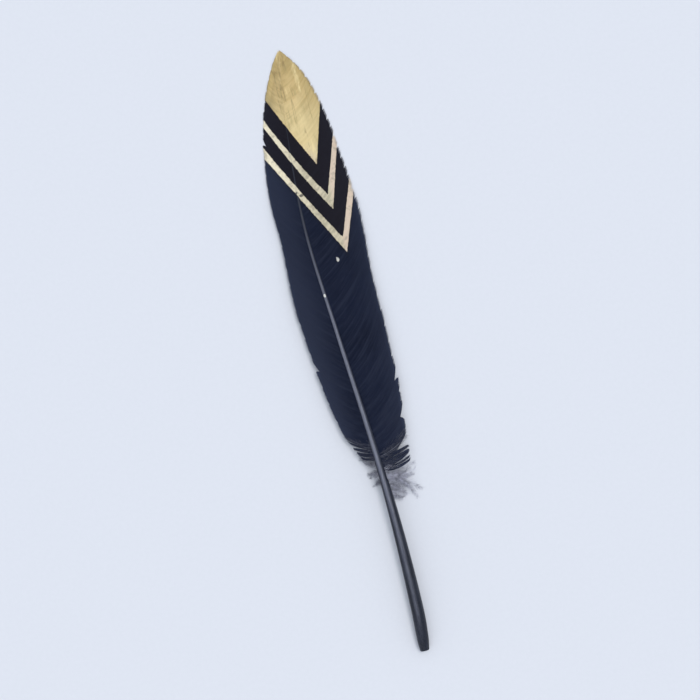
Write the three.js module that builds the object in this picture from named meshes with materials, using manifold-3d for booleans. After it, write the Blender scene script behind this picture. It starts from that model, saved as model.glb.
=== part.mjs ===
// A goose quill feather lying on a table with its upper side up.
// Millimetres. +Y runs from the quill end to the tip, +X to the wide vane, and Z is 0 on the table.
import * as THREE from "three";
import { mergeVertices } from "three/addons/utils/BufferGeometryUtils.js";
import Module from "manifold-3d";

// Driving dimensions. "Along" is the distance from the quill end, and "across" is to the right of
// the straight line from the quill end to the tip.
const length = 170;
const archHeight = 3.2;
const vaneThickness = 0.42;

// The shaft: where its centre line runs, how wide and how deep it is, as [along, value].
const shaftAcross = [[0, 0.9], [12, 1.5], [36, 1.3], [60, 0.1], [90, -2.3], [120, -4.3], [148, -2.9], [170, 0]];
const shaftWidth = [[0, 2.5], [3, 3.2], [10, 3.5], [35, 2.9], [60, 1.9], [95, 1.1], [130, 0.65], [170, 0.25]];
const shaftDepth = [[0, 2.5], [3, 3.2], [10, 3.5], [35, 3.0], [60, 2.15], [95, 1.4], [130, 1.0], [170, 0.5]];
const shaftEnd = 167;
const shaftSteps = 44;
const grooveStart = 48;
const boreRadius = 0.75;
const boreDepth = 6;

// The two vanes. Each edge is [along, across]; locks is how many bundles of barbs make the vane.
const leftVane = {
  side: -1,
  edge: [
    [55, -3.8], [63, -7.4], [76, -9.9], [90, -11.5], [103, -12.4], [117, -11.8],
    [130, -12.2], [142, -10.9], [152, -8.8], [160, -5.9], [166, -2.9], [170, 0],
  ],
  start: 54,
  locks: 32,
  advance: 15,
  bow: 0.24,
  drop: 2.0,
  splits: { 4: 6, 22: 6 },
  seed: 11,
};
const rightVane = {
  side: 1,
  edge: [
    [50.5, 9.4], [60, 10.1], [74, 11.2], [90, 11.3], [106, 11.1], [122, 11.8],
    [136, 10.6], [148, 9.2], [158, 7.0], [164, 4.6], [167.5, 2.1], [170, 0],
  ],
  start: 51,
  locks: 34,
  advance: 19,
  bow: 0.3,
  drop: 2.6,
  splits: { 0: 4, 1: 5, 3: 6, 25: 6 },
  seed: 5,
};
const vaneEnd = 169.2;
const rootOverlap = 0.15;
const rows = [0, 0.09, 0.22, 0.38, 0.55, 0.72, 0.86, 0.955, 1];
const usualJoin = 7;
const ridgeHeight = 0.2;

// Loose downy barbs at the foot of the vanes: where each leaves the shaft, and how far its end is from
// there, as [along, to the side, backwards].
const downLeft = [[52.5, 5.6, -2.6], [50.5, 4.4, 0.2], [48.5, 3.2, 2.0]];
const downRight = [[51.5, 9.6, 3.4], [50.3, 11.6, 6.2], [49.2, 8.4, 3.0], [47.4, 6.0, 4.6], [45.5, 3.4, 4.4]];
const downRadius = 0.34;
const downSteps = 9;

// A smooth curve through [x, y] points, as a function of x.
function smoothLine(points) {
  const slope = points.map((point, i) => {
    const before = points[Math.max(i - 1, 0)];
    const after = points[Math.min(i + 1, points.length - 1)];
    return (after[1] - before[1]) / (after[0] - before[0]);
  });
  return (x) => {
    const at = THREE.MathUtils.clamp(x, points[0][0], points.at(-1)[0]);
    let i = 0;
    while (i < points.length - 2 && at > points[i + 1][0]) i += 1;
    const span = points[i + 1][0] - points[i][0];
    const t = (at - points[i][0]) / span;
    return (
      points[i][1] * (1 + 2 * t) * (1 - t) ** 2 +
      slope[i] * span * t * (1 - t) ** 2 +
      points[i + 1][1] * t * t * (3 - 2 * t) +
      slope[i + 1] * span * t * t * (t - 1)
    );
  };
}

// Repeatable random numbers from 0 to 1.
function randomFrom(seed) {
  let state = seed;
  return () => {
    state = (state * 16807) % 2147483647;
    return state / 2147483647;
  };
}

const shaftX = smoothLine(shaftAcross);
const widthAt = smoothLine(shaftWidth);
const depthAt = smoothLine(shaftDepth);

// Height of the shaft's underside: a low arch that comes down to the table at both ends.
function archAt(along) {
  const t = THREE.MathUtils.clamp(along / length, 0, 1);
  return archHeight * 4 * t * (1 - t);
}

// Height of the vane's underside where it leaves the shaft, which stands a little proud of it.
function rootHeight(along) {
  const crest = 0.18 * depthAt(along) + 0.05;
  return archAt(along) + depthAt(along) - vaneThickness - crest;
}

// A closed solid through rings that all have the same number of points, in order along it.
function loft(rings) {
  const corners = [];
  const count = rings[0].length;
  const centre = (ring) => ring.reduce((sum, p) => sum.add(p), new THREE.Vector3()).divideScalar(count);
  for (let r = 0; r < rings.length - 1; r += 1) {
    for (let i = 0; i < count; i += 1) {
      const next = (i + 1) % count;
      const [a, b, c, d] = [rings[r][i], rings[r][next], rings[r + 1][next], rings[r + 1][i]];
      corners.push(a, b, c, a, c, d);
    }
  }
  const [first, last] = [rings[0], rings.at(-1)];
  for (let i = 0; i < count; i += 1) {
    const next = (i + 1) % count;
    corners.push(centre(first), first[next], first[i]);
    corners.push(centre(last), last[i], last[next]);
  }
  return new THREE.BufferGeometry().setFromPoints(corners);
}

// The shaft's cross-section: round on the quill, with a groove below once the vanes start.
function shaftRing(along) {
  const wide = widthAt(along) / 2;
  const deep = depthAt(along) / 2;
  const middle = archAt(along) + deep;
  const groove = 0.45 * deep * THREE.MathUtils.smoothstep(along, grooveStart, grooveStart + 14);
  const ring = [];
  const sides = 12;
  for (let i = 0; i < sides; i += 1) {
    const angle = (2 * Math.PI * (i + 0.5)) / sides - Math.PI / 2;
    const inGroove = i === 0 || i === sides - 1;
    const x = shaftX(along) + wide * Math.cos(angle);
    const z = middle + deep * Math.sin(angle) + (inGroove ? groove : 0);
    ring.push(new THREE.Vector3(x, along, z));
  }
  return ring;
}

function shaft() {
  const rings = [];
  for (let i = 0; i <= shaftSteps; i += 1) {
    const t = i / shaftSteps;
    rings.push(shaftRing(shaftEnd * (0.35 * t * t + 0.65 * t)));
  }
  return loft(rings.map((ring) => ring.reverse()));
}

// The small hole in the quill's end.
function bore() {
  const rings = [-1, boreDepth].map((along) => {
    const middle = archAt(along) + depthAt(along) / 2;
    const ring = [];
    for (let i = 0; i < 8; i += 1) {
      const angle = (-2 * Math.PI * i) / 8;
      const x = shaftX(along) + boreRadius * Math.cos(angle);
      ring.push(new THREE.Vector3(x, along, middle + boreRadius * Math.sin(angle)));
    }
    return ring;
  });
  return loft(rings);
}

// How far along the edge a barb reaches that leaves the shaft at base.
function tipAlong(vane, base) {
  const q = THREE.MathUtils.clamp((base - vane.start) / (vaneEnd - vane.start), 0, 1);
  const reach = base + vane.advance * (1 - Math.exp(-q / 0.12)) * (1 - q ** 3);
  return Math.max(vane.edge[0][0], reach) + (length - vaneEnd) * q ** 8;
}

// A barb's own line in plan: t is 0 at the shaft and 1 at the vane's edge. It leaves the shaft
// steeply and bends towards the tip.
function barbPoint(vane, base, t) {
  const tip = tipAlong(vane, base);
  const root = new THREE.Vector2(shaftX(base) - vane.side * rootOverlap, base);
  const end = new THREE.Vector2(vane.edgeAt(tip), tip);
  const bend = end.clone().sub(root).multiplyScalar(0.5);
  bend.rotateAround(new THREE.Vector2(), -vane.side * vane.bow);
  const control = root.clone().add(bend);
  return new THREE.QuadraticBezierCurve(root, control, end).getPoint(t);
}

// The underside's height at a place on the vane: the vane falls away from the shaft to its edge, and
// lies flat on the table where it reaches it.
function undersideAt(vane, across, along) {
  const span = Math.max(Math.abs(vane.edgeAt(along) - shaftX(along)), 1.2);
  const share = THREE.MathUtils.clamp(Math.abs(across - shaftX(along)) / span, 0, 1);
  return Math.max(rootHeight(along) - vane.drop * share ** 1.8, 0);
}

// One vane: locks of barbs side by side, joined up to a row near the edge and parted beyond it.
function vaneSolid(vane) {
  const random = randomFrom(vane.seed);
  const lastRow = rows.length - 1;
  vane.edgeAt = smoothLine(vane.edge);
  const step = (vaneEnd - vane.start) / vane.locks;
  const bounds = [];
  for (let k = 0; k <= vane.locks; k += 1) {
    const loose = k > 0 && k < vane.locks ? 0.3 * (random() - 0.5) : 0;
    bounds.push(vane.start + step * (k + loose));
  }
  const joinAfter = (k) => vane.splits[k] ?? usualJoin;
  const corners = [];

  // The top and bottom points of lock k at a row: column -1 is its lower edge, 0 its ridge and 1 its
  // upper edge.
  function pair(k, column, row, reach) {
    const low = bounds[k];
    const high = bounds[k + 1];
    const middle = (low + high) / 2;
    const join = column < 0 ? joinAfter(k - 1) : joinAfter(k);
    const atEnd = (column < 0 && k === 0) || (column > 0 && k === vane.locks - 1);
    const parted = column === 0 || atEnd ? 0 : Math.max(0, (rows[row] - rows[join]) / (1 - rows[join]));
    const pull = parted * (join < usualJoin ? 0.6 : 0.35);
    const outer = column < 0 ? low : high;
    const base = column === 0 ? middle : outer + pull * (middle - outer);
    const short = row === lastRow ? 1 - reach - (column === 0 ? 0 : 0.012) : rows[row];
    const place = barbPoint(vane, base, short);
    const under = undersideAt(vane, place.x, place.y);
    const ridge = column === 0 ? ridgeHeight * Math.sin(Math.PI * Math.min(rows[row] * 1.1, 0.85)) : 0;
    const thick = vaneThickness * (1 - 0.25 * rows[row]);
    return [
      new THREE.Vector3(place.x, place.y, under + thick + ridge),
      new THREE.Vector3(place.x, place.y, under),
    ];
  }
  const quad = (a, b, c, d) => corners.push(a, b, c, a, c, d);

  for (let k = 0; k < vane.locks; k += 1) {
    const reach = 0.02 * random();
    const grid = [-1, 0, 1].map((column) => rows.map((_, row) => pair(k, column, row, reach)));
    for (let row = 0; row < lastRow; row += 1) {
      for (let c = 0; c < 2; c += 1) {
        const [near, far] = [grid[c], grid[c + 1]];
        quad(near[row][0], near[row + 1][0], far[row + 1][0], far[row][0]);
        quad(near[row][1], far[row][1], far[row + 1][1], near[row + 1][1]);
      }
      if (k === 0 || row >= joinAfter(k - 1)) {
        const edge = grid[0];
        quad(edge[row][0], edge[row][1], edge[row + 1][1], edge[row + 1][0]);
      }
      if (k === vane.locks - 1 || row >= joinAfter(k)) {
        const edge = grid[2];
        quad(edge[row][0], edge[row + 1][0], edge[row + 1][1], edge[row][1]);
      }
    }
    for (let c = 0; c < 2; c += 1) {
      const [near, far] = [grid[c], grid[c + 1]];
      quad(near[0][0], far[0][0], far[0][1], near[0][1]);
      quad(near[lastRow][0], near[lastRow][1], far[lastRow][1], far[lastRow][0]);
    }
  }
  if (vane.side < 0) corners.reverse();
  return new THREE.BufferGeometry().setFromPoints(corners);
}

// One loose barb of down: a thin tapering strand that leaves the shaft and sinks to the table.
function downStrand(side, [along, out, back]) {
  const rings = [];
  const top = archAt(along) + 0.6 * depthAt(along);
  for (let i = 0; i <= downSteps; i += 1) {
    const t = i / downSteps;
    const across = shaftX(along) + side * out * t;
    const y = along - back * t ** 1.6 + 0.5 * Math.sin(Math.PI * 2 * t) * t;
    const radius = downRadius * (1 - 0.6 * t);
    const height = Math.max(top * (1 - t ** 1.5), radius);
    const lean = side > 0 ? 1 : -1;
    rings.push([
      new THREE.Vector3(across, y + lean * radius, height),
      new THREE.Vector3(across, y, height + radius),
      new THREE.Vector3(across, y - lean * radius, height),
      new THREE.Vector3(across, y, height - radius),
    ]);
  }
  return loft(rings);
}

const wasm = await Module();
wasm.setup();

function solid(geometry) {
  const merged = mergeVertices(geometry, 1e-4);
  const made = new wasm.Manifold(
    new wasm.Mesh({
      numProp: 3,
      vertProperties: merged.attributes.position.array,
      triVerts: new Uint32Array(merged.index.array),
    }),
  );
  if (made.volume() <= 0) throw new Error("a solid is inside out");
  return made;
}

function featherGeometry() {
  let whole = solid(shaft()).subtract(solid(bore()));
  for (const vane of [leftVane, rightVane]) whole = whole.add(solid(vaneSolid(vane)));
  for (const strand of downLeft) whole = whole.add(solid(downStrand(-1, strand)));
  for (const strand of downRight) whole = whole.add(solid(downStrand(1, strand)));
  const mesh = whole.getMesh();
  const geometry = new THREE.BufferGeometry();
  geometry.setAttribute("position", new THREE.BufferAttribute(mesh.vertProperties, 3));
  geometry.setIndex(new THREE.BufferAttribute(mesh.triVerts, 1));
  geometry.translate(0, -length / 2, 0);
  geometry.computeVertexNormals();
  return geometry;
}

const dyedFeather = new THREE.MeshStandardMaterial({ color: 0x1f2433, roughness: 0.55, metalness: 0 });
const feather = new THREE.Mesh(featherGeometry(), dyedFeather);
feather.name = "feather";

const root = new THREE.Group();
root.add(feather);
export default root;
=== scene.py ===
"""A dyed goose quill feather with a gold painted tip and chevrons, lying on a pale table."""
import math

import bpy
import numpy as np
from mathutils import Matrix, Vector


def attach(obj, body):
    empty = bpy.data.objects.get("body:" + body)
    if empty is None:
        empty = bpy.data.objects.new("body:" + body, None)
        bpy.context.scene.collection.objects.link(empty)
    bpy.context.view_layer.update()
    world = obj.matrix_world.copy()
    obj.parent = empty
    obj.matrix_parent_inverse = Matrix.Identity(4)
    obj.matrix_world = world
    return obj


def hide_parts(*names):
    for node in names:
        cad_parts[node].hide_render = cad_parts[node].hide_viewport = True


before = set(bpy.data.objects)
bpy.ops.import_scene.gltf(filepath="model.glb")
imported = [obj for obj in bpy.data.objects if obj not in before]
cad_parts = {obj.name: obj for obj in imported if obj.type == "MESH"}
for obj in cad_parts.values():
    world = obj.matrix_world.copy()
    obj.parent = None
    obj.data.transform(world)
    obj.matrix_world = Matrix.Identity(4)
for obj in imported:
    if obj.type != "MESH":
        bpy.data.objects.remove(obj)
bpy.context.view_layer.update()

# Sizes in millimetres, as in the feather's solid. "Along" is the distance from the quill end, and
# "across" is to the right of the straight line from the quill end to the tip.
MM = 0.001
LENGTH = 170
ARCH_HEIGHT = 3.2

# The shaft: where its centre line runs, how wide and how deep it is, as (along, value).
SHAFT_ACROSS = [(0, 0.9), (12, 1.5), (36, 1.3), (60, 0.1), (90, -2.3), (120, -4.3), (148, -2.9), (170, 0)]
SHAFT_WIDTH = [(0, 2.5), (3, 3.2), (10, 3.5), (35, 2.9), (60, 1.9), (95, 1.1), (130, 0.65), (170, 0.25)]
SHAFT_DEPTH = [(0, 2.5), (3, 3.2), (10, 3.5), (35, 3.0), (60, 2.15), (95, 1.4), (130, 1.0), (170, 0.5)]
SHAFT_END = 167
SHAFT_SIDES = 40
SHAFT_RINGS = 170
# The groove below the shaft: where it starts, over what length it deepens, how deep it is as a share
# of the shaft's half depth, and how far it spreads round the shaft, in radians.
GROOVE_START = 48
GROOVE_RUN_IN = 14
GROOVE_SHARE = 0.5
GROOVE_SPREAD = 0.42
# The hollow in the quill and its cut rim, from the inside out, as (along, share of the quill's width).
QUILL_HOLLOW = [(9, 0.3), (8.5, 0.72), (6, 0.72), (4, 0.72), (2, 0.72), (0.6, 0.72)]
QUILL_RIM = [(0.25, 0.78), (0.05, 0.86), (0.02, 0.93), (0.15, 0.985)]
# The painted highlight's line beside the middle of the shaft, and how far the highlight reaches to each
# side.
HIGHLIGHT_LINE = -0.2
HIGHLIGHT_REACH = 0.85

# The vanes. Neighbouring locks hold together over USUAL_JOIN of their barbs' length.
VANE_END = 169.2
VANE_THICKNESS = 0.42
ROOT_OVERLAP = 0.15
USUAL_JOIN = 0.955
RIDGE_HEIGHT = 0.2
BARB_PITCH = 0.34
BARB_POINTS = 22
LOWEST_BARB = 0.13
# The corners of a barb's section: how far to the next barb, in pitches, and how high above its web.
BARB_SECTION = [
    (-0.6, -0.045), (-0.13, 0.0), (0.0, 0.075), (0.13, 0.005),
    (0.6, 0.025), (0.55, -0.045), (0.0, -0.11), (-0.52, -0.09),
]
# The barbs' colours vary with a distance outwards that is 0 at a barb's root and this at its tip.
TIP_OUT = 15.0
# The barbs are loose over the lowest LOOSE_FOOT of a vane. Over the stretch NEAR_TIP their roots rise
# and the shaft sinks between them.
LOOSE_FOOT = 5
NEAR_TIP = (118, 135)
NEAR_TIP_ROOT_LIFT = 0.16
NEAR_TIP_SHAFT_DROP = 0.12

# Tufts of down: where each leaves the shaft, how far out it reaches and how far back it curls.
DOWN_LEFT = [(52.5, 5.6, -2.6), (50.5, 4.4, 0.2), (48.5, 3.2, 2.0)]
DOWN_RIGHT = [(51.5, 9.6, 3.4), (50.3, 11.6, 6.2), (49.2, 8.4, 3.0), (47.4, 6.0, 4.6), (45.5, 3.4, 4.4)]
DOWN_RADIUS = 0.05
DOWN_POINTS = 15
DOWN_SIDES = 6
HAIRS_PER_MM = 12
# The loose barbs at the foot of each vane that have hairs too: how many, and how thickly set.
HAIRY_BARBS = 12
HAIRY_BARB_HAIRS_PER_MM = 6
HAIR_LENGTH = (0.8, 2.2)
HAIR_RADIUS = 0.019
HAIR_POINTS = 5
HAIR_SIDES = 3

# The edges of the paint. Each V is its lowest point (across, along), how steeply its left arm rises
# and bends upwards, and how steeply its right arm rises. A chevron lies between two of them.
GOLD_TIP = ((2.95, 136.85), 1.91, 0.020, 3.45)
CHEVRONS = [
    (((4.5, 123.85), 1.58, 0.027, 3.4), ((4.0, 128.1), 1.51, 0.0325, 3.08)),
    (((5.45, 111.45), 1.87, 0.0, 2.85), ((5.3, 115.6), 1.63, 0.0145, 2.85)),
]
PAINT_SOFTNESS = 0.15
# Places as (across, along) and (half width, half length): paint chipped off the lower chevron where
# it crosses the shaft, and two specks of paint dropped on the black.
CHIPS = [((-4.3, 130.1), (0.35, 0.3)), ((-3.2, 129.4), (0.55, 0.38))]
CHIP_STRENGTH = 0.75
PAINT_FLECKS = [((2.5, 110.1), (0.38, 0.65)), ((-3.3, 101.0), (0.3, 0.5))]
SPECK_COLOUR = (0.58, 0.57, 0.53)

# In metres and degrees: the table's half width, the camera's height and how it is turned, so that the
# tip points up and to the left.
TABLE_HALF_WIDTH = 30
CAMERA_HEIGHT = 0.455
CAMERA_TURN = -13.4


def smooth_line(points):
    """A smooth curve through (x, y) points, as a function of x."""
    x, y = np.array(points, float).T
    slope = np.empty_like(y)
    slope[1:-1] = (y[2:] - y[:-2]) / (x[2:] - x[:-2])
    slope[0] = (y[1] - y[0]) / (x[1] - x[0])
    slope[-1] = (y[-1] - y[-2]) / (x[-1] - x[-2])

    def value(at):
        at = np.clip(at, x[0], x[-1])
        i = np.clip(np.searchsorted(x, at) - 1, 0, len(x) - 2)
        span = x[i + 1] - x[i]
        t = (at - x[i]) / span
        low = y[i] * (1 + 2 * t) * (1 - t) ** 2 + slope[i] * span * t * (1 - t) ** 2
        high = y[i + 1] * t * t * (3 - 2 * t) + slope[i + 1] * span * t * t * (t - 1)
        return low + high

    return value


def smooth_step(x, low, high):
    """A smooth rise from 0 at low to 1 at high."""
    t = np.clip((x - low) / (high - low), 0, 1)
    return t * t * (3 - 2 * t)


def shares(count, power):
    """Numbers from 0 to 1, closer together at both ends when power is over 1."""
    t = np.linspace(-1, 1, count)
    return (np.sign(t) * (1 - (1 - np.abs(t)) ** power) + 1) / 2


def running_total(values):
    """The running integral of values that are evenly spaced over a length of 1."""
    middles = (values[1:] + values[:-1]) / 2
    return np.concatenate([[0], np.cumsum(middles)]) / (len(values) - 1)


def random_from(seed):
    """The same repeatable numbers that set the locks of the solid."""
    state = seed
    while True:
        state = (state * 16807) % 2147483647
        yield state / 2147483647


shaft_x = smooth_line(SHAFT_ACROSS)
width_at = smooth_line(SHAFT_WIDTH)
depth_at = smooth_line(SHAFT_DEPTH)


def arch_at(along):
    """Height of the shaft's underside: a low arch that comes down to the table at both ends."""
    t = np.clip(along / LENGTH, 0, 1)
    return ARCH_HEIGHT * 4 * t * (1 - t)


def root_height(along):
    """Height of the vane's underside where it leaves the shaft, which stands a little proud of it."""
    crest = 0.18 * depth_at(along) + 0.05
    return arch_at(along) + depth_at(along) - VANE_THICKNESS - crest


class Vane:
    """One side's barbs: where their tips lie, how they bend and where the vane has parted.

    advance is how far a barb's tip lies ahead of its root, bow how far it bends, in radians, and drop
    how far the vane's edge hangs below its root. splits gives the locks after which the vane has
    parted deeper, each with how far out it still holds together, as a share of the barbs' length.
    """

    def __init__(self, side, edge, start, locks, advance, bow, drop, splits, seed):
        self.side = side
        self.start = start
        self.locks = locks
        self.advance = advance
        self.bow = bow
        self.drop = drop
        self.edge_start = edge[0][0]
        self.edge_at = smooth_line(edge)
        numbers = random_from(seed)
        step = (VANE_END - start) / locks
        between_locks = [start + step * (k + 0.3 * (next(numbers) - 0.5)) for k in range(1, locks)]
        self.bounds = np.array([start, *between_locks, VANE_END])
        self.short = np.array([0.02 * next(numbers) for _ in range(locks)])
        self.joins = np.array([splits.get(k, USUAL_JOIN) for k in range(-1, locks)])

    def tip_along(self, base):
        """How far along the edge a barb reaches that leaves the shaft at base."""
        q = np.clip((base - self.start) / (VANE_END - self.start), 0, 1)
        reach = base + self.advance * (1 - np.exp(-q / 0.12)) * (1 - q**3)
        return np.maximum(self.edge_start, reach) + (LENGTH - VANE_END) * q**8

    def barb_point(self, base, t):
        """The place in plan, across and along, of barbs that leave the shaft at base."""
        tip = self.tip_along(base)
        root_x, root_y = shaft_x(base) - self.side * ROOT_OVERLAP, base
        end_x, end_y = self.edge_at(tip), tip
        half_x, half_y = (end_x - root_x) / 2, (end_y - root_y) / 2
        turn = -self.side * self.bow
        bend_x = root_x + half_x * math.cos(turn) - half_y * math.sin(turn)
        bend_y = root_y + half_x * math.sin(turn) + half_y * math.cos(turn)
        a, b, c = (1 - t) ** 2, 2 * t * (1 - t), t * t
        return a * root_x + b * bend_x + c * end_x, a * root_y + b * bend_y + c * end_y

    def underside(self, across, along):
        """Height of the underside: the vane falls away from the shaft and lies flat where it
        reaches the table."""
        span = np.maximum(np.abs(self.edge_at(along) - shaft_x(along)), 1.2)
        share = np.clip(np.abs(across - shaft_x(along)) / span, 0, 1)
        return np.maximum(root_height(along) - self.drop * share**1.8, 0)


LEFT = Vane(
    side=-1,
    edge=[
        (55, -3.8), (63, -7.4), (76, -9.9), (90, -11.5), (103, -12.4), (117, -11.8),
        (130, -12.2), (142, -10.9), (152, -8.8), (160, -5.9), (166, -2.9), (170, 0),
    ],
    start=54, locks=32, advance=15, bow=0.24, drop=2.0, splits={4: 0.86, 22: 0.86}, seed=11,
)
RIGHT = Vane(
    side=1,
    edge=[
        (50.5, 9.4), (60, 10.1), (74, 11.2), (90, 11.3), (106, 11.1), (122, 11.8),
        (136, 10.6), (148, 9.2), (158, 7.0), (164, 4.6), (167.5, 2.1), (170, 0),
    ],
    start=51, locks=34, advance=19, bow=0.3, drop=2.6, splits={0: 0.55, 1: 0.86, 3: 0.86}, seed=5,
)


def rise(across, along, corner, left, bend, right):
    """How far along a place is above a V."""
    out_left, out_right = np.maximum(corner[0] - across, 0), np.maximum(across - corner[0], 0)
    return along - corner[1] - left * out_left - bend * out_left**2 - right * out_right


def painted(across, along):
    """How far a place is inside the gold tip, from 0 to 1."""
    return smooth_step(rise(across, along, *GOLD_TIP), -1, 1)


def bundle_ripple(line, t):
    """Paint binds the barbs in stiff little bundles, which stand up and sink a little."""
    waves = [(1.15, 0.025, 0.3, 2.0), (1.9, 0.036, 1.7, -1.5), (3.7, 0.036, 4.1, 1.0)]
    return sum(
        size * np.sin(2 * math.pi * line / wave + phase + drift * t)
        for wave, size, phase, drift in waves
    )


def wrinkles(across, along):
    """Shallow lengthwise wrinkles where the paint has stiffened the vane."""
    off = across - shaft_x(along)
    first = np.sin(2 * math.pi * (off / 4.3 + along / 37))
    second = np.sin(2 * math.pi * (off / 2.1 - along / 23) + 1.3)
    return 0.08 * first + 0.05 * second * (0.5 + 0.5 * np.sin(along / 3.1))


def strands_mesh(name, points, values):
    """One object of many closed strands. points is strands x rings x corners x 3, in the feather's
    millimetres, and values are named numbers or vectors for each point."""
    place = points.reshape(-1, 3) * MM
    place[:, 1] -= LENGTH / 2 * MM
    number = np.arange(len(place)).reshape(points.shape[:3])
    here, beyond = number[:, :-1], number[:, 1:]
    sides = np.stack([here, np.roll(here, -1, axis=2), np.roll(beyond, -1, axis=2), beyond], axis=-1)
    near, far = number[:, 0, ::-1], number[:, -1]
    mesh = bpy.data.meshes.new(name)
    mesh.from_pydata(place.tolist(), [], sides.reshape(-1, 4).tolist() + near.tolist() + far.tolist())
    for key, value in values.items():
        kind, part = ("FLOAT_VECTOR", "vector") if value.ndim == points.ndim else ("FLOAT", "value")
        layer = mesh.attributes.new(key, kind, "POINT")
        layer.data.foreach_set(part, value.astype(np.float32).ravel())
    piece = bpy.data.objects.new(name, mesh)
    bpy.context.scene.collection.objects.link(piece)
    mesh.shade_smooth()
    return piece


def make_vane(name, vane, seed):
    """Every barb of one vane: a ridged ribbon that tapers to a free tip at the edge."""
    rng = np.random.default_rng(seed)
    count = int((VANE_END - vane.start) / BARB_PITCH)
    base = vane.start + 0.1 + (np.arange(count) + 0.05 * rng.uniform(-1, 1, count)) * BARB_PITCH
    t = shares(BARB_POINTS, 1.35)
    lock = np.clip(np.searchsorted(vane.bounds, base) - 1, 0, vane.locks - 1)
    low, high = vane.bounds[lock], vane.bounds[lock + 1]
    middle = (low + high) / 2

    # Beyond the join with its neighbours, a lock closes up towards its middle, more so where the vane
    # has parted deeper. At the vane's foot the barbs also stray and lift a little.
    join = np.where(base < middle, vane.joins[lock], vane.joins[lock + 1])[:, None]
    pull = np.where(join < USUAL_JOIN, 0.6, 0.3)
    closer = 1 - pull * np.clip((t - join) / (1 - join), 0, 1)
    loose = np.clip(1 - (base - vane.start) / LOOSE_FOOT, 0, 1)[:, None]
    stray = 0.4 * loose * rng.normal(size=(count, 1)) * t**2
    lifted = 0.25 * loose * rng.normal(size=(count, 1)) * t**2
    line = middle[:, None] + (base - middle)[:, None] * closer + stray
    end = 1 - vane.short[lock] - 0.012 * rng.random(count)
    reach = t * end[:, None]

    # The web is narrower at a barb's tip and where barbs are loose, and paint half fills its grooves.
    web = 1 - 0.8 * smooth_step(t, 0.93, 1.0) - 0.3 * loose * t**0.5
    relief = (1 - 0.6 * t) * (1 - 0.55 * painted(*vane.barb_point(line, reach)))
    points = np.empty((count, BARB_POINTS, len(BARB_SECTION), 3))
    for i, (side, lift) in enumerate(BARB_SECTION):
        x, y = vane.barb_point(line + side * BARB_PITCH * web, reach)
        height = vane.underside(x, y) + VANE_THICKNESS * (0.62 - 0.2 * t) + lifted
        across_lock = np.clip((base + side * BARB_PITCH - middle) / (high - low) * 2, -1, 1)
        ridge = 0.25 * RIDGE_HEIGHT * (1 + np.cos(math.pi * across_lock))
        height += ridge[:, None] * np.sin(math.pi * np.minimum(t * 1.1, 0.85))
        height += (bundle_ripple(line + side * BARB_PITCH, t) + wrinkles(x, y)) * painted(x, y)
        height += NEAR_TIP_ROOT_LIFT * smooth_step(y, *NEAR_TIP) * (1 - t) ** 6
        height = np.maximum(height, LOWEST_BARB) + lift * relief
        points[:, :, i] = np.stack([x, y, height], axis=-1)

    # The mirrored vane's corners are taken the other way round, so that its faces point out too.
    if vane.side > 0:
        points = points[:, :, ::-1]
    tone = np.broadcast_to(rng.random(count)[:, None, None], points.shape[:3])
    place = np.empty(points.shape)
    place[..., 0] = line[:, :, None]
    place[..., 1] = TIP_OUT * t[:, None]
    place[..., 2] = vane.side
    return strands_mesh(name, points, {"barb_tone": tone, "barb_place": place})


def make_shaft():
    """The bare quill, open at its cut end, and the shaft that tapers from it to the tip."""
    angle = 2 * math.pi * (np.arange(SHAFT_SIDES) + 0.5) / SHAFT_SIDES - math.pi / 2
    from_below = (angle + math.pi / 2 + math.pi) % (2 * math.pi) - math.pi
    in_groove = np.exp(-((from_below / GROOVE_SPREAD) ** 2))

    def ring(along, scale=1.0):
        wide, deep = width_at(along) / 2, depth_at(along) / 2
        middle = arch_at(along) + deep - NEAR_TIP_SHAFT_DROP * smooth_step(along, *NEAR_TIP)
        flute = 1 + 0.012 * np.sin(7 * angle + 0.05 * along) + 0.008 * np.sin(17 * angle + 2)
        run_in = smooth_step(along, GROOVE_START, GROOVE_START + GROOVE_RUN_IN)
        groove = GROOVE_SHARE * deep * run_in * in_groove
        x = shaft_x(along) + wide * scale * flute * np.cos(angle)
        z = middle + deep * scale * flute * np.sin(angle) + groove
        return np.stack([x, np.full(SHAFT_SIDES, along), z], axis=-1)

    rings = [ring(along, scale) for along, scale in QUILL_HOLLOW + QUILL_RIM]
    rings += [ring(along) for along in SHAFT_END * shares(SHAFT_RINGS, 1.25)[1:]]
    points = np.array(rings)[None, :, ::-1]
    points[..., 2] = np.maximum(points[..., 2], 0)
    # For the painted highlight: how high round the shaft a point lies, and how far beside its middle
    # line.
    crown = np.broadcast_to(np.sin(angle)[::-1], points.shape[:3])
    beside = points[..., 0] - shaft_x(points[..., 1])
    return strands_mesh("shaft", points, {"crown": crown, "beside": beside})


def down_barb(rng, t, side, along, out, back):
    """The line of one soft barb of a tuft, which fans out, sinks and curls."""
    fan = rng.uniform(-1, 1)
    start = along + 0.8 * fan
    length = math.hypot(out, back) * rng.uniform(0.5, 0.95)
    turn = math.atan2(back, out) + 0.3 * fan + rng.normal(0, 0.55) * t**1.5
    top = arch_at(start) + depth_at(start) * rng.uniform(0.35, 0.75)
    x = shaft_x(start) + side * (0.4 + length * running_total(np.cos(turn)))
    y = start - length * running_total(np.sin(turn))
    z = np.maximum(top * (1 - t**1.5), 0.12) + 0.9 * rng.random() * np.sin(math.pi * t)
    return np.stack([x, y, z], axis=-1)


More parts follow.
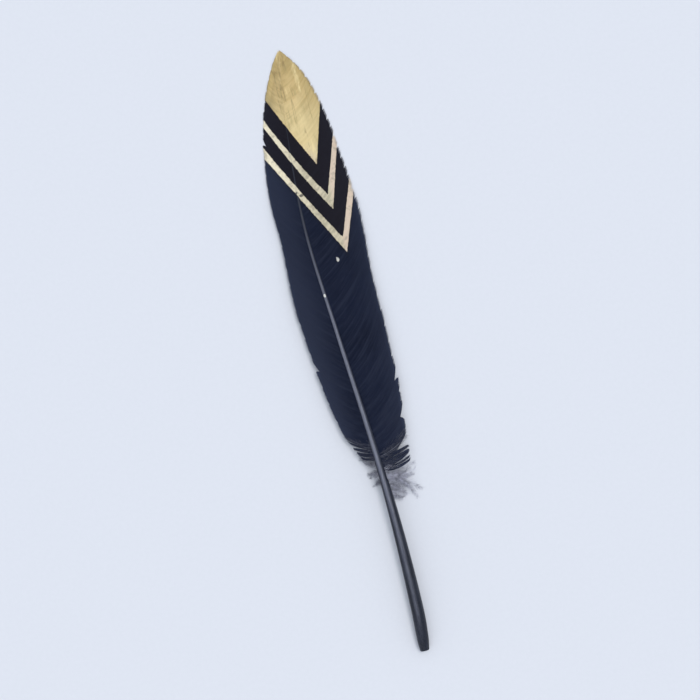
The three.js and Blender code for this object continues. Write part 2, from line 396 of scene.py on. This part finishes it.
def tube(core, radius, sides):
    """Rings round a line of points that runs roughly level."""
    ahead = np.gradient(core, axis=0)
    ahead /= np.linalg.norm(ahead, axis=1, keepdims=True)
    beside = np.cross(ahead, (0, 0, 1))
    beside /= np.linalg.norm(beside, axis=1, keepdims=True)
    above = np.cross(beside, ahead)
    angle = -2 * math.pi * np.arange(sides)[:, None] / sides
    spread = np.cos(angle) * beside[:, None] + np.sin(angle) * above[:, None]
    return core[:, None] + radius[:, None, None] * spread


def side_hairs(core, rng, hairs_per_mm):
    """Fine hairs that leave a downy barb on both sides and curl towards its end."""
    made = []
    last = len(core) - 1
    t = np.linspace(0, 1, HAIR_POINTS)
    out = t[:, None]
    length = np.linalg.norm(np.diff(core, axis=0), axis=1).sum()
    for _ in range(int(hairs_per_mm * length)):
        at = rng.uniform(0.08, 0.99) * last
        i = min(int(at), last - 1)
        step = core[i + 1] - core[i]
        start = core[i] + step * (at - i)
        ahead = step / np.linalg.norm(step)
        beside = np.cross(ahead, (0, 0, 1)) * rng.choice((-1, 1))
        size = rng.uniform(*HAIR_LENGTH) * (1 - 0.6 * at / last)
        up = rng.uniform(-0.2, 0.5) * np.array((0, 0, 1))
        wave = 0.16 * rng.uniform(-1, 1) * np.sin(2 * math.pi * out)
        line = start + size * (out * (0.75 * beside + up) + (out**1.6 * 0.8 + wave) * ahead)
        line[:, 2] = np.clip(line[:, 2], 0.05, 5.0)
        made.append(tube(line, HAIR_RADIUS * (1 - 0.6 * t), HAIR_SIDES))
    return np.array(made)


def make_down():
    """The tufts' soft barbs, and the fine hairs on them and on the lowest barbs of the vanes."""
    rng = np.random.default_rng(31)
    t = np.linspace(0, 1, DOWN_POINTS)
    lines, shades, hairs_per_mm = [], [], []
    # paleness is how much painted sheen a tuft's barbs get; the loose barbs of the vanes get little.
    for side, tufts, barbs_in_tuft, paleness in ((-1, DOWN_LEFT, 6, 0.5), (1, DOWN_RIGHT, 9, 1.0)):
        for tuft in tufts:
            for _ in range(barbs_in_tuft):
                lines.append(down_barb(rng, t, side, *tuft))
                shades.append(paleness * rng.uniform(0.5, 1.0))
                hairs_per_mm.append(HAIRS_PER_MM)
    for vane in (LEFT, RIGHT):
        for base in vane.start + rng.uniform(0.2, LOOSE_FOOT, HAIRY_BARBS):
            x, y = vane.barb_point(base, 0.97 * t)
            lines.append(np.stack([x, y, vane.underside(x, y) + 0.25], axis=-1))
            shades.append(0.15)
            hairs_per_mm.append(HAIRY_BARB_HAIRS_PER_MM)

    barbs = np.array([tube(line, DOWN_RADIUS * (1 - 0.75 * t), DOWN_SIDES) for line in lines])
    hairs = [side_hairs(line, rng, per_mm) for line, per_mm in zip(lines, hairs_per_mm)]
    hair_shades = np.repeat(shades, [len(made) for made in hairs])
    hairs = np.concatenate(hairs)
    barb_paleness = np.broadcast_to(1.35 * np.array(shades)[:, None, None], barbs.shape[:3])
    hair_paleness = np.broadcast_to(hair_shades[:, None, None], hairs.shape[:3])
    down = strands_mesh("down", barbs, {"paleness": barb_paleness})
    down_hairs = strands_mesh("down_hairs", hairs, {"paleness": hair_paleness})
    return down, down_hairs


class Nodes:
    """One material's nodes, with short ways to add and join them."""

    def __init__(self, name):
        self.material = bpy.data.materials.new(name)
        self.material.use_nodes = True
        self.tree = self.material.node_tree
        self.shader = self.tree.nodes["Principled BSDF"]

    def put(self, target, value):
        if isinstance(value, bpy.types.NodeSocket):
            self.tree.links.new(value, target)
        else:
            target.default_value = value

    def shade(self, name, value):
        """Set one input of the shader."""
        self.put(self.shader.inputs[name], value)

    def add(self, kind, **settings):
        made = self.tree.nodes.new(kind)
        for key, value in settings.items():
            setattr(made, key, value)
        return made

    def math(self, operation, *values, clamp=False):
        made = self.add("ShaderNodeMath", operation=operation, use_clamp=clamp)
        for target, value in zip(made.inputs, values):
            self.put(target, value)
        return made.outputs[0]

    def between(self, value, low, high, to_low=0.0, to_high=1.0, kind="SMOOTHSTEP"):
        """A change from to_low, where the value is low, to to_high, where it is high."""
        made = self.add("ShaderNodeMapRange", interpolation_type=kind)
        for target, number in zip(made.inputs, (value, low, high, to_low, to_high)):
            self.put(target, number)
        return made.outputs[0]

    def mix(self, share, first, second):
        made = self.add("ShaderNodeMix", data_type="RGBA")
        self.put(made.inputs["Factor"], share)
        self.put(made.inputs["A"], first if isinstance(first, bpy.types.NodeSocket) else (*first, 1))
        self.put(made.inputs["B"], second if isinstance(second, bpy.types.NodeSocket) else (*second, 1))
        return made.outputs["Result"]

    def coated(self, colour, *coats):
        """A colour under coats of (share, colour), the last on top."""
        for share, coat in coats:
            colour = self.mix(share, colour, coat)
        return colour

    def noise(self, vector, scale=1.0, detail=2.0, roughness=0.5):
        made = self.add("ShaderNodeTexNoise")
        self.put(made.inputs["Vector"], vector)
        self.put(made.inputs["Scale"], scale)
        self.put(made.inputs["Detail"], detail)
        self.put(made.inputs["Roughness"], roughness)
        return made.outputs["Fac"]

    def scaled(self, vector, by):
        made = self.add("ShaderNodeVectorMath", operation="MULTIPLY")
        self.put(made.inputs[0], vector)
        made.inputs[1].default_value = by
        return made.outputs[0]

    def split(self, vector):
        made = self.add("ShaderNodeSeparateXYZ")
        self.put(made.inputs[0], vector)
        return made.outputs

    def attribute(self, name, output):
        return self.add("ShaderNodeAttribute", attribute_name=name).outputs[output]

    def where(self):
        return self.add("ShaderNodeTexCoord").outputs["Object"]

    def place(self):
        """The place in millimetres, as a vector."""
        return self.scaled(self.where(), (1 / MM,) * 3)

    def across(self):
        """How far across a point lies, in millimetres."""
        return self.math("MULTIPLY", self.split(self.where())["X"], 1 / MM)

    def along(self):
        """How far along a point lies, in millimetres."""
        return self.math("MULTIPLY_ADD", self.split(self.where())["Y"], 1 / MM, LENGTH / 2)

    def bump(self, height, distance, strength):
        made = self.add("ShaderNodeBump")
        made.inputs["Strength"].default_value = strength
        made.inputs["Distance"].default_value = distance
        self.put(made.inputs["Height"], height)
        self.shade("Normal", made.outputs[0])


def above_v(nodes, across, along, corner, left, bend, right):
    """How far along a place is above a V, in nodes."""
    out_left = nodes.math("MAXIMUM", nodes.math("SUBTRACT", corner[0], across), 0.0)
    out_right = nodes.math("MAXIMUM", nodes.math("SUBTRACT", across, corner[0]), 0.0)
    steepness = nodes.math("MULTIPLY_ADD", out_left, bend, left)
    left_rise = nodes.math("MULTIPLY", out_left, steepness)
    right_rise = nodes.math("MULTIPLY", out_right, right)
    up = nodes.math("SUBTRACT", along, corner[1])
    return nodes.math("SUBTRACT", nodes.math("SUBTRACT", up, left_rise), right_rise)


def spot(nodes, across, along, place, centre, size):
    """An uneven oval place, 1 in its middle and 0 outside."""
    off_x = nodes.math("DIVIDE", nodes.math("SUBTRACT", across, centre[0]), size[0])
    off_y = nodes.math("DIVIDE", nodes.math("SUBTRACT", along, centre[1]), size[1])
    square_x = nodes.math("MULTIPLY", off_x, off_x)
    square_y = nodes.math("MULTIPLY", off_y, off_y)
    uneven = nodes.between(nodes.noise(place, scale=1.8, roughness=0.6), 0.3, 0.7, 0.75, 1.35)
    return nodes.between(nodes.math("MULTIPLY", nodes.math("ADD", square_x, square_y), uneven), 1.3, 0.7)


def paint_masks(nodes):
    """Where the gold tip, the chevrons and the specks of paint are, each from 0 to 1."""
    across, along, place = nodes.across(), nodes.along(), nodes.place()
    ragged = nodes.noise(place, scale=1.6, detail=3.0, roughness=0.6)
    uneven = nodes.math("MULTIPLY", nodes.math("SUBTRACT", ragged, 0.5), 0.8)
    each_barb = nodes.math("MULTIPLY", nodes.attribute("barb_tone", "Fac"), 0.3)
    wavy = nodes.math("ADD", nodes.math("ADD", along, uneven), each_barb)

    def beyond(edge):
        return nodes.between(above_v(nodes, across, wavy, *edge), -PAINT_SOFTNESS, PAINT_SOFTNESS)

    bands = 0.0
    for lower, upper in CHEVRONS:
        band = nodes.math("MULTIPLY", beyond(lower), nodes.math("SUBTRACT", 1.0, beyond(upper)))
        bands = nodes.math("MAXIMUM", bands, band)
    for centre, size in CHIPS:
        chip = spot(nodes, across, wavy, place, centre, size)
        bands = nodes.math("MULTIPLY", bands, nodes.math("MULTIPLY_ADD", chip, -CHIP_STRENGTH, 1.0))
    flecks = 0.0
    for centre, size in PAINT_FLECKS:
        flecks = nodes.math("MAXIMUM", flecks, spot(nodes, across, wavy, place, centre, size))
    return beyond(GOLD_TIP), bands, flecks


def paint_over(nodes, under, gold, pale_gold, metal):
    """The shader's colour: gold at the tip, pale gold in the chevrons, and the specks, over the colour
    beneath.
    """
    tip, bands, flecks = paint_masks(nodes)
    paint = nodes.math("MAXIMUM", nodes.math("MAXIMUM", tip, bands), flecks)
    colour = nodes.coated(
        gold,
        (nodes.between(bands, 0.0, 0.1), pale_gold),
        (nodes.between(flecks, 0.0, 0.1), SPECK_COLOUR),
    )
    nodes.shade("Base Color", nodes.mix(paint, under, colour))
    nodes.shade("Metallic", nodes.math("MULTIPLY", tip, metal))


def creases(nodes, place):
    """Thin broken lines that run roughly along the feather, where the gold gets painted crease shade."""
    field = nodes.noise(nodes.scaled(place, (0.42, 0.05, 0.4)), roughness=0.55)
    off = nodes.math("ABSOLUTE", nodes.math("SUBTRACT", field, 0.5))
    line = nodes.between(off, 0.03, 0.003)
    broken = nodes.between(nodes.noise(nodes.scaled(place, (0.5, 0.17, 0.5))), 0.47, 0.6)
    return nodes.math("MULTIPLY", line, broken)


def barb_material():
    """Black-blue dyed barbs, gold painted at the tip and in two chevrons."""
    nodes = Nodes("dyed_barbs")
    across, along, place = nodes.across(), nodes.along(), nodes.place()
    barbs = nodes.attribute("barb_place", "Vector")
    out = nodes.split(barbs)["Y"]
    tone = nodes.attribute("barb_tone", "Fac")
    streaks = nodes.noise(nodes.scaled(barbs, (0.9, 0.07, 1)), detail=3.0, roughness=0.55)
    fine = nodes.noise(nodes.scaled(barbs, (3.2, 0.25, 1)), roughness=0.6)
    grain = nodes.noise(nodes.scaled(barbs, (9.0, 5.0, 1)), roughness=0.6)
    cloud = nodes.noise(place, scale=0.07)
    brushed = nodes.noise(nodes.scaled(place, (0.55, 0.10, 0.5)), detail=4.0, roughness=0.6)
    thin_paint = nodes.noise(place, scale=0.7, detail=3.0, roughness=0.6)
    lower_chevron = above_v(nodes, across, along, *CHEVRONS[1][0])

    # The black-blue dye, with painted sheen among the coats over it.
    dye_and_sheen = nodes.coated(
        nodes.mix(nodes.between(cloud, 0.35, 0.65), (0.0035, 0.0065, 0.0205), (0.006, 0.010, 0.028)),
        # A sheen on the outer parts and on the left vane.
        (nodes.math("MULTIPLY", nodes.between(out, 6.0, TIP_OUT), 0.6), (0.021, 0.027, 0.052)),
        (nodes.between(across, -1.0, -10.0, 0.0, 0.8), (0.026, 0.033, 0.062)),
        # Streaks and lines that follow the barbs, some barbs lighter than others, and pale free tips.
        (nodes.math("MULTIPLY", nodes.between(streaks, 0.48, 0.72), 0.5), (0.024, 0.030, 0.055)),
        (nodes.math("MULTIPLY", nodes.between(fine, 0.45, 0.7), 0.35), (0.022, 0.027, 0.050)),
        (nodes.math("MULTIPLY", tone, 0.2), (0.022, 0.027, 0.048)),
        (nodes.between(out, 12.5, TIP_OUT, 0.0, 0.35), (0.045, 0.055, 0.095)),
        # Above the lower chevron's edge the black is warmer.
        (nodes.between(lower_chevron, -3.0, 3.0, 0.0, 0.8), (0.012, 0.0095, 0.0125)),
    )
    gold = nodes.coated(
        nodes.mix(nodes.between(streaks, 0.3, 0.7), (0.53, 0.392, 0.170), (0.69, 0.523, 0.258)),
        # Bright below the end, darker at the end and pale in the lower point.
        (nodes.between(along, 160.0, 147.0, 0.0, 0.45), (0.94, 0.81, 0.475)),
        (nodes.between(along, 157.0, 168.0, 0.0, 0.4), (0.44, 0.325, 0.14)),
        (nodes.between(along, 144.0, 137.0, 0.0, 0.55), (0.72, 0.63, 0.50)),
        # Duller outwards, with dull and bright brush marks, and a painted shadow along the left edge.
        (nodes.between(out, 5.0, TIP_OUT, 0.0, 0.35), (0.44, 0.34, 0.15)),
        (nodes.between(brushed, 0.52, 0.72, 0.0, 0.7), (0.50, 0.40, 0.19)),
        (nodes.between(brushed, 0.44, 0.28, 0.0, 0.65), (0.90, 0.75, 0.41)),
        (nodes.between(across, -3.5, -7.0, 0.0, 0.5), (0.36, 0.30, 0.17)),
        # Painted shade in lines between barbs and in creases, and darker free tips.
        (nodes.between(fine, 0.6, 0.76, 0.0, 0.35), (0.40, 0.30, 0.13)),
        (nodes.math("MULTIPLY", creases(nodes, place), 0.5), (0.30, 0.215, 0.10)),
        (nodes.between(out, 13.6, TIP_OUT, 0.0, 0.55), (0.33, 0.24, 0.11)),
    )
    pale_gold = nodes.coated(
        nodes.mix(nodes.between(streaks, 0.3, 0.7), (0.475, 0.43, 0.305), (0.69, 0.62, 0.455)),
        # Paler to the left, pinker to the right, and dull where the paint is thin.
        (nodes.between(across, 2.0, -9.0, 0.0, 0.8), (0.93, 0.85, 0.65)),
        (nodes.between(across, 4.2, 6.0, 0.0, 0.7), (0.76, 0.605, 0.49)),
        (nodes.between(thin_paint, 0.5, 0.68, 0.0, 0.5), (0.33, 0.29, 0.215)),
    )
    paint_over(nodes, dye_and_sheen, gold, pale_gold, metal=0.45)
    nodes.shade("Roughness", nodes.between(fine, 0.3, 0.7, 0.42, 0.58, "LINEAR"))
    nodes.shade("Specular IOR Level", 0.12)
    nodes.bump(grain, 0.03 * MM, 0.5)
    return nodes.material


def shaft_material():
    """Dyed horn: dark, with a paler painted highlight along its crest by the vanes, and gold at the tip.
    """
    nodes = Nodes("dyed_horn")
    along, place = nodes.along(), nodes.place()
    grain = nodes.noise(nodes.scaled(place, (6.0, 0.35, 6.0)), detail=3.0, roughness=0.6)
    patches = nodes.noise(nodes.scaled(place, (0.7, 0.12, 0.7)), detail=3.0, roughness=0.6)
    off_line = nodes.math("SUBTRACT", nodes.attribute("beside", "Fac"), HIGHLIGHT_LINE)
    near_line = nodes.between(nodes.math("ABSOLUTE", off_line), HIGHLIGHT_REACH, 0.0)
    crown = nodes.between(nodes.attribute("crown", "Fac"), 0.0, 0.5)
    crest = nodes.math("MULTIPLY", near_line, crown)
    # How strong the painted highlight is: it comes in along the quill and shaft and fades out towards the
    # tip.
    on_quill = nodes.between(along, 5.0, 13.0, 0.0, 0.42)
    on_shaft = nodes.between(along, 14.0, 60.0, 0.0, 0.58)
    highlight_share = nodes.math("ADD", on_quill, on_shaft)
    highlight_share = nodes.math("MULTIPLY", highlight_share, nodes.between(along, 140.0, 84.0))

    dark = nodes.mix(nodes.between(patches, 0.35, 0.7), (0.006, 0.008, 0.016), (0.016, 0.019, 0.032))
    highlight_colour = nodes.mix(nodes.between(grain, 0.3, 0.7), (0.105, 0.111, 0.150), (0.172, 0.181, 0.226))
    # The paler colour is a painted highlight, mixed over the dark dye along the crest.
    horn = nodes.mix(nodes.math("MULTIPLY", crest, highlight_share), dark, highlight_colour)
    gold = nodes.mix(nodes.between(grain, 0.3, 0.7), (0.52, 0.39, 0.19), (0.70, 0.55, 0.31))
    pale_gold = nodes.mix(nodes.between(grain, 0.3, 0.7), (0.46, 0.42, 0.30), (0.63, 0.57, 0.42))
    paint_over(nodes, horn, gold, pale_gold, metal=0.6)
    gloss = nodes.between(along, 90.0, 125.0, 0.27, 0.62, "LINEAR")
    rough = nodes.math("ADD", gloss, nodes.between(grain, 0.2, 0.8, -0.06, 0.08, "LINEAR"))
    nodes.shade("Roughness", rough)
    nodes.shade("Specular IOR Level", 0.28)
    nodes.bump(grain, 0.05 * MM, 0.6)
    return nodes.material


def down_material():
    """Dark dyed down, with a pale grey-violet painted sheen in patches."""
    nodes = Nodes("down")
    patches = nodes.between(nodes.noise(nodes.place(), scale=0.9), 0.25, 0.65, 0.35, 1.0)
    # The paler colour is a painted sheen, in patches and as strong as a strand's paleness.
    pale = nodes.math("MULTIPLY", nodes.attribute("paleness", "Fac"), patches, clamp=True)
    nodes.shade("Base Color", nodes.mix(pale, (0.018, 0.021, 0.036), (0.62, 0.62, 0.72)))
    nodes.shade("Roughness", 0.6)
    nodes.shade("Specular IOR Level", 0.3)
    return nodes.material


def table_material():
    """A matt pale table, very slightly mottled."""
    nodes = Nodes("table")
    mottle = nodes.between(nodes.noise(nodes.place(), scale=0.9, detail=4.0, roughness=0.6), 0.3, 0.7)
    nodes.shade("Base Color", nodes.mix(mottle, (0.622, 0.634, 0.674), (0.632, 0.644, 0.684)))
    nodes.shade("Roughness", 0.85)
    nodes.shade("Specular IOR Level", 0.1)
    return nodes.material


def add_sun(name, towards, strength, width, colour):
    """A soft, even light from far away; towards points from the object to the light."""
    lamp = bpy.data.lights.new(name, "SUN")
    lamp.energy = strength
    lamp.angle = math.radians(width)
    lamp.color = colour
    light = bpy.data.objects.new(name, lamp)
    light.rotation_mode = "QUATERNION"
    light.rotation_quaternion = Vector(towards).to_track_quat("Z", "Y")
    bpy.context.scene.collection.objects.link(light)


def make_stage():
    """The pale table, soft light from the upper right, and the camera straight above."""
    scene = bpy.context.scene
    half = TABLE_HALF_WIDTH
    corners = [(-half, -half, 0), (half, -half, 0), (half, half, 0), (-half, half, 0)]
    mesh = bpy.data.meshes.new("table")
    mesh.from_pydata(corners, [], [(0, 1, 2, 3)])
    table = bpy.data.objects.new("table", mesh)
    table.data.materials.append(table_material())
    scene.collection.objects.link(table)

    world = bpy.data.worlds.new("studio")
    world.use_nodes = True
    sky = world.node_tree.nodes["Background"]
    sky.inputs["Color"].default_value = (0.83, 0.90, 1.0, 1)
    sky.inputs["Strength"].default_value = 0.86
    scene.world = world
    add_sun("key", towards=(0.25, 0.12, 0.80), strength=1.35, width=24, colour=(1.0, 0.98, 0.955))
    add_sun("fill", towards=(-0.3, -0.45, 0.6), strength=0.3, width=60, colour=(0.94, 0.96, 1.0))
    scene.view_settings.view_transform = "Standard"

    lens = bpy.data.cameras.new("camera")
    lens.lens = 85
    lens.sensor_width = 36
    camera = bpy.data.objects.new("camera", lens)
    camera.location = (0, 0, CAMERA_HEIGHT)
    camera.rotation_euler = (0, 0, math.radians(CAMERA_TURN))
    scene.collection.objects.link(camera)
    scene.camera = camera


make_stage()
shaft = make_shaft()
left_vane = make_vane("left_vane", LEFT, seed=3)
right_vane = make_vane("right_vane", RIGHT, seed=4)
down, down_hairs = make_down()

barbs = barb_material()
horn = shaft_material()
fluff = down_material()
for piece, material, slot in (
    (shaft, horn, "quill"),
    (left_vane, barbs, "barbs"),
    (right_vane, barbs, "barbs"),
    (down, fluff, "barbs"),
    (down_hairs, fluff, "barbs"),
):
    piece.data.materials.append(material)
    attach(piece, "root")
    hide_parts("feather")
